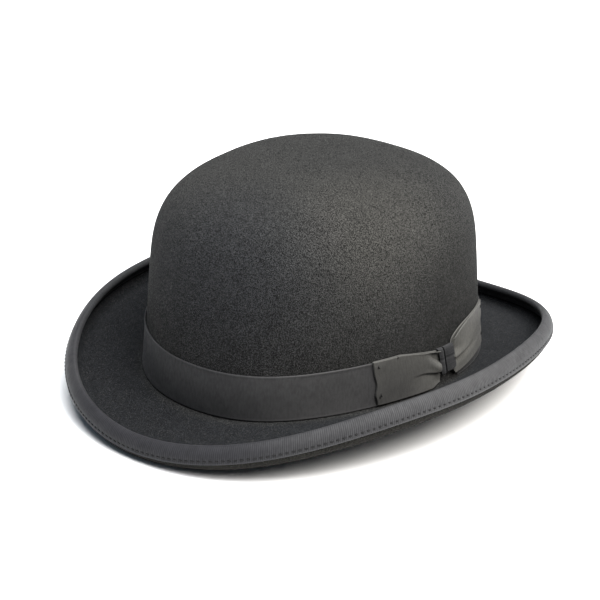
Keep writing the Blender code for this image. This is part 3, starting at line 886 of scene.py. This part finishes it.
def loop_depth(side, degrees, rise):
    """Middle of a loop's outer layer from the felt: flat at its end, pleated as it nears the keeper."""
    height = rise / MM
    top = loop_edges(side, degrees)[1] / MM
    if side == "front":
        past = FRONT_ROOT - degrees
        near = 1 - ease(past / 17.0)
        close = 1 - ease(past / 9.0)
        tight = 1 - ease(past / 5.0)
        crease = 8.4 + 2.6 * ease(past / 10.0)
        lobe = 11.5 + 4.4 * ease(past / 7.0)
        hollow = 16.4 + 0.75 * np.maximum(past, 0.0)
        value = 1.95 + 0.35 * np.sin(np.pi * np.clip(past / 31.0, 0.0, 1.0)) + 0.85 * near
        value += near * fold_step(height, crease, 0.55, 1.50, 4.0)
        value += 0.95 * close * hump(height, lobe, 2.6)
        value -= 2.60 * close * hump(height, hollow, 2.4)
        value += 0.60 * near * hump(height, top, 0.8)
        value -= 1.00 * tight * hump(height, 4.5, 3.0)
        value += 0.12 * np.sin(height / 3.1 + past / 5.0) * ease(past / 12.0)
    else:
        past = degrees - REAR_ROOT
        near = 1 - ease((past - 6.0) / 22.0)
        tight = 1 - ease(past / 6.0)
        crease = 12.4 + 0.2 * np.clip(past, 0.0, 30.0)
        value = 1.75 + 1.05 * (1 - ease(past / 20.0))
        value += near * fold_step(height, crease, 1.15, 1.90, 3.0)
        value -= 0.55 * ease((past - 6.0) / 8.0) * hump(height, crease + 0.5, 2.4)
        value += 0.30 * near * hump(height, crease - 5.0, 2.0)
        value -= 0.60 * tight * hump(height, 18.0, 2.5)
        value += 0.35 * tight * hump(height, top, 0.9)
    gathered = ease(-past / 1.2)
    return np.maximum(value * (1 - gathered) + 1.5 * gathered, BOW_LOWEST / MM) * MM


def loop_end(side, share):
    """Angle of a loop's folded end at each share of its height: the fold is a little wavy."""
    if side == "front":
        straight = FRONT_ENDS_AT[0] + (FRONT_ENDS_AT[1] - FRONT_ENDS_AT[0]) * share
        return straight + 0.55 * hump(share, 0.48, 0.14) - 0.42 * hump(share, 0.22, 0.09)
    return REAR_END + 0.5 * hump(share, 0.6, 0.2) - 0.3 * hump(share, 0.2, 0.1)


def build_bow_loop(side):
    """Ribbon that runs from under the keeper to the loop's end, folds over and comes back on top."""
    way = -1.0 if side == "front" else 1.0
    root = (FRONT_ROOT + REAR_ROOT) / 2 + way * 0.3
    share = np.linspace(0.0, 1.0, 61)[None, :]
    end = loop_end(side, share)
    back = np.linspace(0.0, 1.0, 36)[:, None]
    front = 1 - np.linspace(0.0, 1.0, 150)[:, None]
    swing = np.radians(np.linspace(-70.0, 70.0, 7))[:, None]

    def rise_at(degrees):
        low, high = loop_edges(side, degrees)
        return low + share * (high - low)

    under = root + back * (end - root)
    over = root + front * (end - root)
    over_depth = loop_depth(side, over, rise_at(over))
    last = over_depth[:1]
    half = (last - BOW_INNER) / 2
    turned = end + way * half * np.cos(swing) / MM_PER_DEGREE
    degrees = np.concatenate([under, turned, over])
    depth = np.concatenate([BOW_INNER + 0 * under, BOW_INNER + half * (1 + np.sin(swing)), over_depth])
    grid = by_band(np.radians(degrees), depth, rise_at(degrees))
    along = running(np.linalg.norm(np.diff(grid, axis=0), axis=-1).mean(axis=1))[:, None]
    piece = grid_piece(f"bow_{side}_ribbon", grid, BOW, cloth=(along, share * BAND_HEIGHT))
    solidify(piece, BOW_RIBBON)
    finish_piece(piece, "grosgrain", f"bow_{side}_loop")


KEEPER_TOP, KEEPER_BOTTOM = 21.8 * MM, 6.2 * MM
KEEPER_BACK, KEEPER_FRONT = 0.5 * MM, 2.95 * MM
KEEPER_LEAN = 0.95                      # degrees that its upper end stands nearer the front


def build_keeper():
    """Ribbon wrapped round the bow's waist, with one pleat down its face."""
    across = np.linspace(0.0, 1.0, 49)[:, None]
    swing = ring(96)[None, :]
    face, level = squared(np.cos(swing), 0.4), squared(np.sin(swing), 0.4)
    groove = hump(across, 0.325 + 0.01 * level, 0.040)
    pleat = 0.40 * hump(across, 0.15, 0.13) - 1.00 * groove - 0.28 * hump(across, 0.43, 0.12)
    pleat = pleat - 0.25 * hump(across, 0.0, 0.05) - 0.10 * hump(across, 1.0, 0.08)
    middle, half = (KEEPER_BACK + KEEPER_FRONT) / 2, (KEEPER_FRONT - KEEPER_BACK) / 2
    outside = ease(face * 2.0 + 0.6)
    depth = middle + half * face + pleat * MM * outside
    half_height = (KEEPER_TOP - KEEPER_BOTTOM) / 2
    rise = (KEEPER_TOP + KEEPER_BOTTOM) / 2 + half_height * level * (1 + 0.02 * hump(across, 0.14, 0.12))
    degrees = FRONT_ROOT + 0.1 + (REAR_ROOT - FRONT_ROOT - 0.1) * across - KEEPER_LEAN * level
    angle = np.radians(degrees)
    grid = by_band(angle, depth, rise)
    girth = 2 * (KEEPER_TOP - KEEPER_BOTTOM) + 2 * (KEEPER_FRONT - KEEPER_BACK)
    width = (REAR_ROOT - FRONT_ROOT) * MM_PER_DEGREE
    piece = grid_piece("bow_knot_ribbon", grid, KEEPER, columns_closed=True,
                       cloth=(swing / (2 * np.pi) * girth, across * width))
    solidify(piece, BOW_RIBBON)
    finish_piece(piece, "keeper_ribbon", "bow_keeper")


def stitch(side, degrees, rise, length, turn, radius=0.25 * MM):
    """A short stitch on a loop's face: its middle stands up and its ends go into the ribbon."""
    place = np.linspace(-1.0, 1.0, 9)
    along = degrees + place * length / 2 * np.cos(turn) / MM_PER_DEGREE
    height = rise + place * length / 2 * np.sin(turn)
    depth = loop_depth(side, along, height) + BOW_RIBBON / 2 + (0.22 - 0.5 * place ** 4) * MM
    angle = np.radians(along)
    return tube(by_band(angle, depth, height), radius, sides=8)


def build_tacks():
    """Hand stitches that hold the bow's loops at their corners."""
    spots = {
        "front_upper": ("front", [(64.6, 22.9, 1.7, 70), (64.9, 22.6, 1.5, 130), (73.2, 25.4, 1.3, 85)]),
        "front_lower": ("front", [(65.6, 6.4, 2.0, 60), (65.9, 6.0, 1.6, 120), (65.3, 5.2, 1.4, 95)]),
        "rear_upper": ("rear", [(128.4, 28.3, 1.7, 110), (128.1, 28.0, 1.5, 50)]),
        "rear_lower": ("rear", [(128.4, 11.6, 1.8, 70), (128.1, 11.2, 1.5, 125)]),
    }
    for name, (side, stitches) in spots.items():
        shells = [stitch(side, degrees, rise * MM, length * MM, np.radians(turn))
                  for degrees, rise, length, turn in stitches]
        piece = mesh_piece(f"{name}_stitches", *join(shells), THREAD)
        finish_piece(piece, "thread", f"bow_{name}_tack")


# ---- sweatband and reed

INSIDE_ENDS = np.radians([-179.75, 179.75])


def build_sweatband():
    """Leather strip whose lower edge is sewn to the reed tape and whose upper edge stands free."""
    angle = np.linspace(*INSIDE_ENDS, 361)
    share = np.concatenate([np.linspace(0.0, 0.9, 14), np.linspace(0.93, 1.0, 6)])[None, :]
    column = angle[:, None]
    base = around(BAND_BASE, column)
    wave = 0.5 * np.sin(5 * column + 0.6) + 0.3 * np.sin(11 * column + 2.0)
    lean = share ** 2 * (0.5 + 0.35 * wave)
    groove = 0.14 * hump(share, 0.10, 0.012) + 0.10 * hump(share, 0.945, 0.008)
    offset = -SWEATBAND_DEPTH - (lean - groove) * MM
    height = base + 1.0 * MM + share * (SWEATBAND_HEIGHT + 0.5 * wave * MM)
    half = LEATHER / 2 * (1 - 0.35 * hump(share, 1.0, 0.02))
    outline = thicken(offset, height, half + 0 * height, cap=4)
    grid = on_wall(column, *outline)
    piece = flip(grid_piece("sweatband_leather", grid, HIDE, columns_closed=True, ends=True))
    finish_piece(piece, "leather", "sweatband")


def reed_route(angle, rise=0.0, depth=0.0):
    """Points round the opening, by their rise above and depth inside the reed's middle."""
    return by_band(angle, -SWEATBAND_DEPTH - depth, rise - REED_DROP)


def build_reed():
    """Thin cane round the opening, with shallow knots."""
    angle = np.linspace(*INSIDE_ENDS, 401)
    thickness = REED_RADIUS * (1 - 0.05 * np.cos(angle * 23) - 0.03 * np.cos(angle * 61))
    piece = mesh_piece("reed_cane", *tube(reed_route(angle), thickness, sides=12), CANE)
    finish_piece(piece, "cane", "sweatband_reed")


def build_sleeve():
    """Thin metal tube, pinched on to the reed near both its ends."""
    angle = np.radians(np.linspace(175.5, 184.5, 61))[:, None]
    share = np.linspace(-1.0, 1.0, 61)[:, None]
    pinched = 1 - 0.10 * (hump(share, -0.72, 0.09) + hump(share, 0.72, 0.09))
    outer, inner = REED_RADIUS + 0.5 * MM, REED_RADIUS + 0.3 * MM
    swing = ring(24)[None, :]
    wall = [reed_route(angle, radius * pinched * np.sin(swing), -radius * pinched * np.cos(swing))
            for radius in (outer, inner)]
    grid = np.concatenate([wall[0], wall[1][::-1]])
    finish_piece(grid_piece("reed_joint", grid, BRASS, True, True), "sleeve_brass", "reed_sleeve")


def build_reed_tape():
    """Tape folded up round the reed, one leg on each face of the leather's lower edge."""
    angle = ring(360)
    column = angle[:, None]
    rise = np.linspace(1.0, 0.0, 8)[None, :-1] * TAPE_REACH * (1 + 0.05 * np.sin(9 * column))
    swing = np.linspace(0.0, -np.pi, 17)[None, :]
    slack = 0.10 * MM * np.sin(37 * column) * np.sin(swing)
    leg = TAPE_BEND + 0 * rise
    depth = side_by_side(-leg, -(TAPE_BEND + slack) * np.cos(swing), leg)
    level = side_by_side(rise, (TAPE_BEND + slack) * np.sin(swing), rise[:, ::-1])
    path = running_rows(np.hypot(np.diff(depth), np.diff(level)))
    grid = reed_route(np.broadcast_to(column, depth.shape), level, depth)
    along = angle * (CROWN_HALF_LENGTH + CROWN_HALF_WIDTH) / 2
    piece = grid_piece("sweatband_tape", grid, TAPE_CLOTH, True, False, cloth=(along[:, None], path))
    solidify(piece, TAPE)
    finish_piece(piece, "tape", "reed_tape")


def build_sweatband_stitches():
    """The row that holds the leather between the tape's two legs."""
    def route(angle, place):
        rise = (4.0 + 0.35 * place) * MM
        depth = TAPE_BEND + TAPE / 2 + (0.12 - 0.32 * place ** 4) * MM
        return reed_route(angle + 0.0085 * place, rise, depth)

    stitch_row("sweatband_stitches", "sweatband_stitching", ring(210), route, 0.2 * MM)


# ---- small bow on the sweatband's seam

REAR_BOW_RISE = 12.0 * MM
REAR_RIBBON = 0.25 * MM
REAR_FACE = SWEATBAND_DEPTH + LEATHER / 2 + 0.35 * MM + REAR_RIBBON / 2
# a loop's run out and back: degrees from the seam and millimetres off the leather
REAR_PATH = np.array([(0.8, 0.0), (2.0, 0.0), (3.5, 0.0), (5.5, 0.05), (7.2, 0.15), (7.8, 0.85),
                      (7.1, 1.7), (5.2, 2.25), (3.4, 2.2), (1.9, 1.85), (0.8, 1.5)])


def smooth_path(points, count):
    """A smooth run through points, by cubic steps between them."""
    points = np.asarray(points)
    slopes = np.gradient(points, axis=0)
    place = np.linspace(0, len(points) - 1, count)
    first = np.minimum(place.astype(int), len(points) - 2)
    step = (place - first)[:, None]
    square, cube = step ** 2, step ** 3
    return ((2 * cube - 3 * square + 1) * points[first] + (cube - 2 * square + step) * slopes[first]
            + (3 * square - 2 * cube) * points[first + 1] + (cube - square) * slopes[first + 1])


def build_rear_bow():
    """Small flat bow: a loop on each side of the seam, crimped under a knot."""
    share = np.linspace(-1.0, 1.0, 25)[None, :]
    path = smooth_path(REAR_PATH, 90)
    degrees, lift = path[:, :1], path[:, 1:]
    upper = ease((lift - 0.5) / 1.0)
    crimp = 0.22 * np.cos(share * 7.0) * (1 - ease((degrees - 1.0) / 4.0)) * upper
    half = (1.7 + 0.32 * degrees - 0.5 * hump(degrees, 8.0, 1.0)) * MM
    along = running(np.hypot(*(np.diff(path, axis=0) * (1.5, 1.0)).T))[:, None] * MM
    for side, way in (("left", 1.0), ("right", -1.0)):
        angle = np.radians(180.0 - way * degrees)
        grid = by_band(angle, -REAR_FACE - (lift + crimp) * MM, REAR_BOW_RISE + share * half)
        piece = grid_piece(f"seam_bow_{side}", grid, BOW, cloth=(along, share * 3.5 * MM))
        solidify(piece, REAR_RIBBON)
        finish_piece(piece, "grosgrain", f"rear_bow_{side}_loop")
    swing = ring(32)[None, :]
    climb = np.radians(np.linspace(-86.0, 86.0, 25))[:, None]
    waist = 1 - 0.12 * hump(climb, 0.0, 0.35)
    round_end = np.cos(climb) ** 0.6
    width = squared(np.cos(swing), 0.6) * round_end * waist * 1.1 * MM
    thick = squared(np.sin(swing), 0.6) * round_end * (1.0 + 0.06 * np.cos(6 * swing)) * MM
    angle = np.radians(180.0) - width / (CROWN_HALF_LENGTH - REAR_FACE)
    rise = squared(np.sin(climb), 0.6) * 2.5 * MM + 0 * swing
    grid = by_band(angle, -REAR_FACE - 1.05 * MM + thick, REAR_BOW_RISE + rise)
    piece = grid_piece("seam_bow_knot", grid, BOW, columns_closed=True, ends=True,
                       cloth=(rise, swing * 1.4 * MM))
    finish_piece(piece, "grosgrain", "rear_bow_knot")


# ---- lining

def gathers(angle, level, count, seed):
    """Pleats round the lining, uneven in width: 0 in the valleys and 1 on the ridges."""
    drift = 0.9 * np.sin(3 * angle + seed) + 0.6 * np.sin(7 * angle + 2 * seed + level)
    return 0.5 + 0.5 * np.sin(count * angle + 2.2 * drift + 0.8 * np.sin(2 * level + seed))


def build_lining_side():
    """Lower panel of the lining: it hangs behind the sweatband and is gathered into the tip's seam."""
    column = ring(720)[:, None]
    base = around(BAND_BASE, column)
    low = base + BAND_HEIGHT
    share = np.linspace(0.02, TIP_SEAM - SEAM_HALF, 34)[None, :]
    climb = np.linspace(0.0, 1.0, 12)[None, :-1]
    wall_height = low + (DOME_START - low) * climb
    fold = gathers(column, 3.0 * climb, 64, 1.0) * (0.35 + 0.25 * climb)
    wall = on_wall(column, -LINING_DEPTH - fold * MM, wall_height)
    rise = share / TIP_SEAM
    fold = gathers(column, 3.0 + rise, 64, 1.0) * (1 - 0.75 * rise ** 8)
    fold = fold * (0.60 + 0.15 * np.sin(np.pi * rise))
    dome = on_dome(column, share, LINING_DEPTH + fold * MM)
    grid = side_by_side(wall, dome)
    across = running_rows(np.linalg.norm(np.diff(grid, axis=1), axis=-1))
    girth = np.linalg.norm(np.diff(grid[:, 8], axis=0), axis=1).sum()
    along = column / (2 * np.pi) * girth
    piece = grid_piece("lining_wall", grid, SATIN, True, False, cloth=(along, across))
    solidify(piece, LINING)
    finish_piece(piece, "satin", "lining_side")


def build_lining_tip():
    """Oval top panel of the lining, its edge eased into the seam."""
    column = ring(720)[:, None]
    share = TIP_SEAM + SEAM_HALF + np.linspace(0.0, 1.0, 30)[None, :] ** 1.2 * (0.97 - TIP_SEAM)
    pull = 1 - ease((share - TIP_SEAM) / 0.22)
    fold = gathers(column, 4.0 + 0 * share, 52, 2.3) * 0.45 * pull
    fold = fold * (1 - 0.8 * hump(share, TIP_SEAM, 0.02))
    ripple = 0.12 * np.sin(5 * column + 9 * share) * ease((share - 0.6) / 0.2) * (1 - share)
    grid = on_dome(column, share, LINING_DEPTH + (fold + ripple) * MM)
    points, faces = crested(grid, LINING_DEPTH)
    piece = mesh_piece("lining_crown", points, faces, SATIN, points[:, :2])
    solidify(piece, LINING)
    finish_piece(piece, "satin", "lining_tip")


def build_piping():
    """Satin-covered cord in the seam between the lining's side and its tip."""
    angle = ring(1200)
    depth = LINING_DEPTH + LINING / 2 + GAP + 0.8 * MM
    route = on_dome(angle, TIP_SEAM, depth)
    twist = 0.74 * MM * (1 + 0.06 * np.sin(angle * 240))
    piece = mesh_piece("lining_cord", *tube(route, twist, sides=10, closed=True), PIPING)
    finish_piece(piece, "satin", "lining_piping")


PATCH_DEPTH = LINING_DEPTH + 0.70 * MM
FILM_THICKNESS = 0.25 * MM
CARD_THICKNESS = 0.3 * MM


def build_protector():
    """Clear patch over the middle of the lining's tip."""
    column = ring(240)[:, None]
    share = np.linspace(0.785, 0.985, 26)[None, :]
    ripple = 0.10 * MM * np.sin(4 * column + 25 * share) * (1 - ease((share - 0.79) / 0.19))
    grid = on_dome(column, share, PATCH_DEPTH + ripple)
    piece = mesh_piece("crown_patch", *crested(grid, PATCH_DEPTH), FILM)
    solidify(piece, FILM_THICKNESS)
    finish_piece(piece, "clear_film", "tip_protector")


def build_ticket():
    """Blank card tucked behind the sweatband."""
    angle = np.radians(np.linspace(225.0, 240.0, 25))[:, None]
    share = np.linspace(0.0, 1.0, 12)[None, :]
    depth = 2.95 * MM + 0.12 * MM * share ** 2 * np.sin(np.radians(12.0) + 9 * angle)
    grid = by_band(angle, -depth, (8.0 + 11.0 * share) * MM)
    piece = grid_piece("blank_card", grid, CARD)
    solidify(piece, CARD_THICKNESS)
    finish_piece(piece, "card", "size_ticket")


build_felt()
build_binding()
build_stitches()
build_band()
build_bow_loop("front")
build_bow_loop("rear")
build_keeper()
build_tacks()
build_sweatband()
build_reed()
build_sleeve()
build_reed_tape()
build_sweatband_stitches()
build_rear_bow()
build_lining_side()
build_lining_tip()
build_piping()
build_protector()
build_ticket()


# ---- stage, light and camera

def build_stage():
    """Pale floor with a painted pool of light round the hat, darker away from it."""
    bpy.ops.mesh.primitive_plane_add(size=40.0, location=(0.0, 0.0, CAD_BOX[0][2]))
    floor = bpy.context.object
    floor.name = "floor"
    made = Nodes("pale_floor")
    away = made.vector_math("LENGTH", made.place(), (0.0, 0.0, 0.0), "Value")
    colour = made.mix(made.ramp(away, 0.6, 1.8), (0.90, 0.90, 0.90), (0.40, 0.40, 0.40))
    floor.data.materials.append(made.finish(colour, 0.9, Specular_IOR_Level=0.1))


def direction(turn, climb):
    """Unit vector from its angle round the hat and its height, in radians."""
    return Vector((np.sin(turn) * np.cos(climb), -np.cos(turn) * np.cos(climb), np.sin(climb)))


def add_light(name, angle, rise, strength, spread, colour):
    """A far, soft light: its angle round the hat from the front, and its height, in degrees."""
    lamp = bpy.data.lights.new(name, "SUN")
    lamp.energy = strength
    lamp.angle = np.radians(spread)
    lamp.color = colour
    made = bpy.data.objects.new(name, lamp)
    place = direction(*np.radians([angle, rise]))
    made.location = 2.0 * place
    made.rotation_euler = place.to_track_quat("Z", "Y").to_euler()
    bpy.context.scene.collection.objects.link(made)


def build_light():
    """Large soft lights overhead and behind the wearer's left side, with little fill from the front."""
    world = bpy.data.worlds.new("studio")
    bpy.context.scene.world = world
    world.use_nodes = True
    sky = world.node_tree.nodes["Background"].inputs
    sky["Color"].default_value = (0.74, 0.87, 1.0, 1.0)
    sky["Strength"].default_value = 0.13
    add_light("overhead", 75.0, 80.0, 5.10, 50.0, (0.97, 0.985, 1.0))
    add_light("rear_left", 122.0, 50.0, 2.80, 34.0, (1.0, 0.97, 0.93))
    add_light("left", 84.0, 48.0, 2.30, 34.0, (1.0, 0.965, 0.92))
    add_light("rear", 180.0, 42.0, 0.40, 34.0, (0.94, 0.97, 1.0))
    add_light("front_right", 315.0, 50.0, 0.10, 50.0, (0.45, 0.68, 1.0))


def build_camera():
    """Camera at the height and side from which the hat's front left quarter is seen."""
    azimuth, elevation, roll = np.radians([40.05, 23.67, 0.82])
    distance = 1.2578
    target = Vector((0.0, Y_SHIFT, 0.0439))
    back = direction(azimuth, elevation)
    right = Vector((np.cos(azimuth), np.sin(azimuth), 0.0))
    up = back.cross(right)
    lens = bpy.data.cameras.new("camera")
    lens.sensor_width = 36.0
    lens.lens = 132.8
    camera = bpy.data.objects.new("camera", lens)
    bpy.context.scene.collection.objects.link(camera)
    turned = Matrix((right, up, back)).transposed() @ Matrix.Rotation(roll, 3, "Z")
    place = target - 0.00555 * right + distance * back
    camera.matrix_world = Matrix.Translation(place) @ turned.to_4x4()
    bpy.context.scene.camera = camera


build_stage()
build_light()
build_camera()
bpy.context.scene.view_settings.view_transform = "Standard"
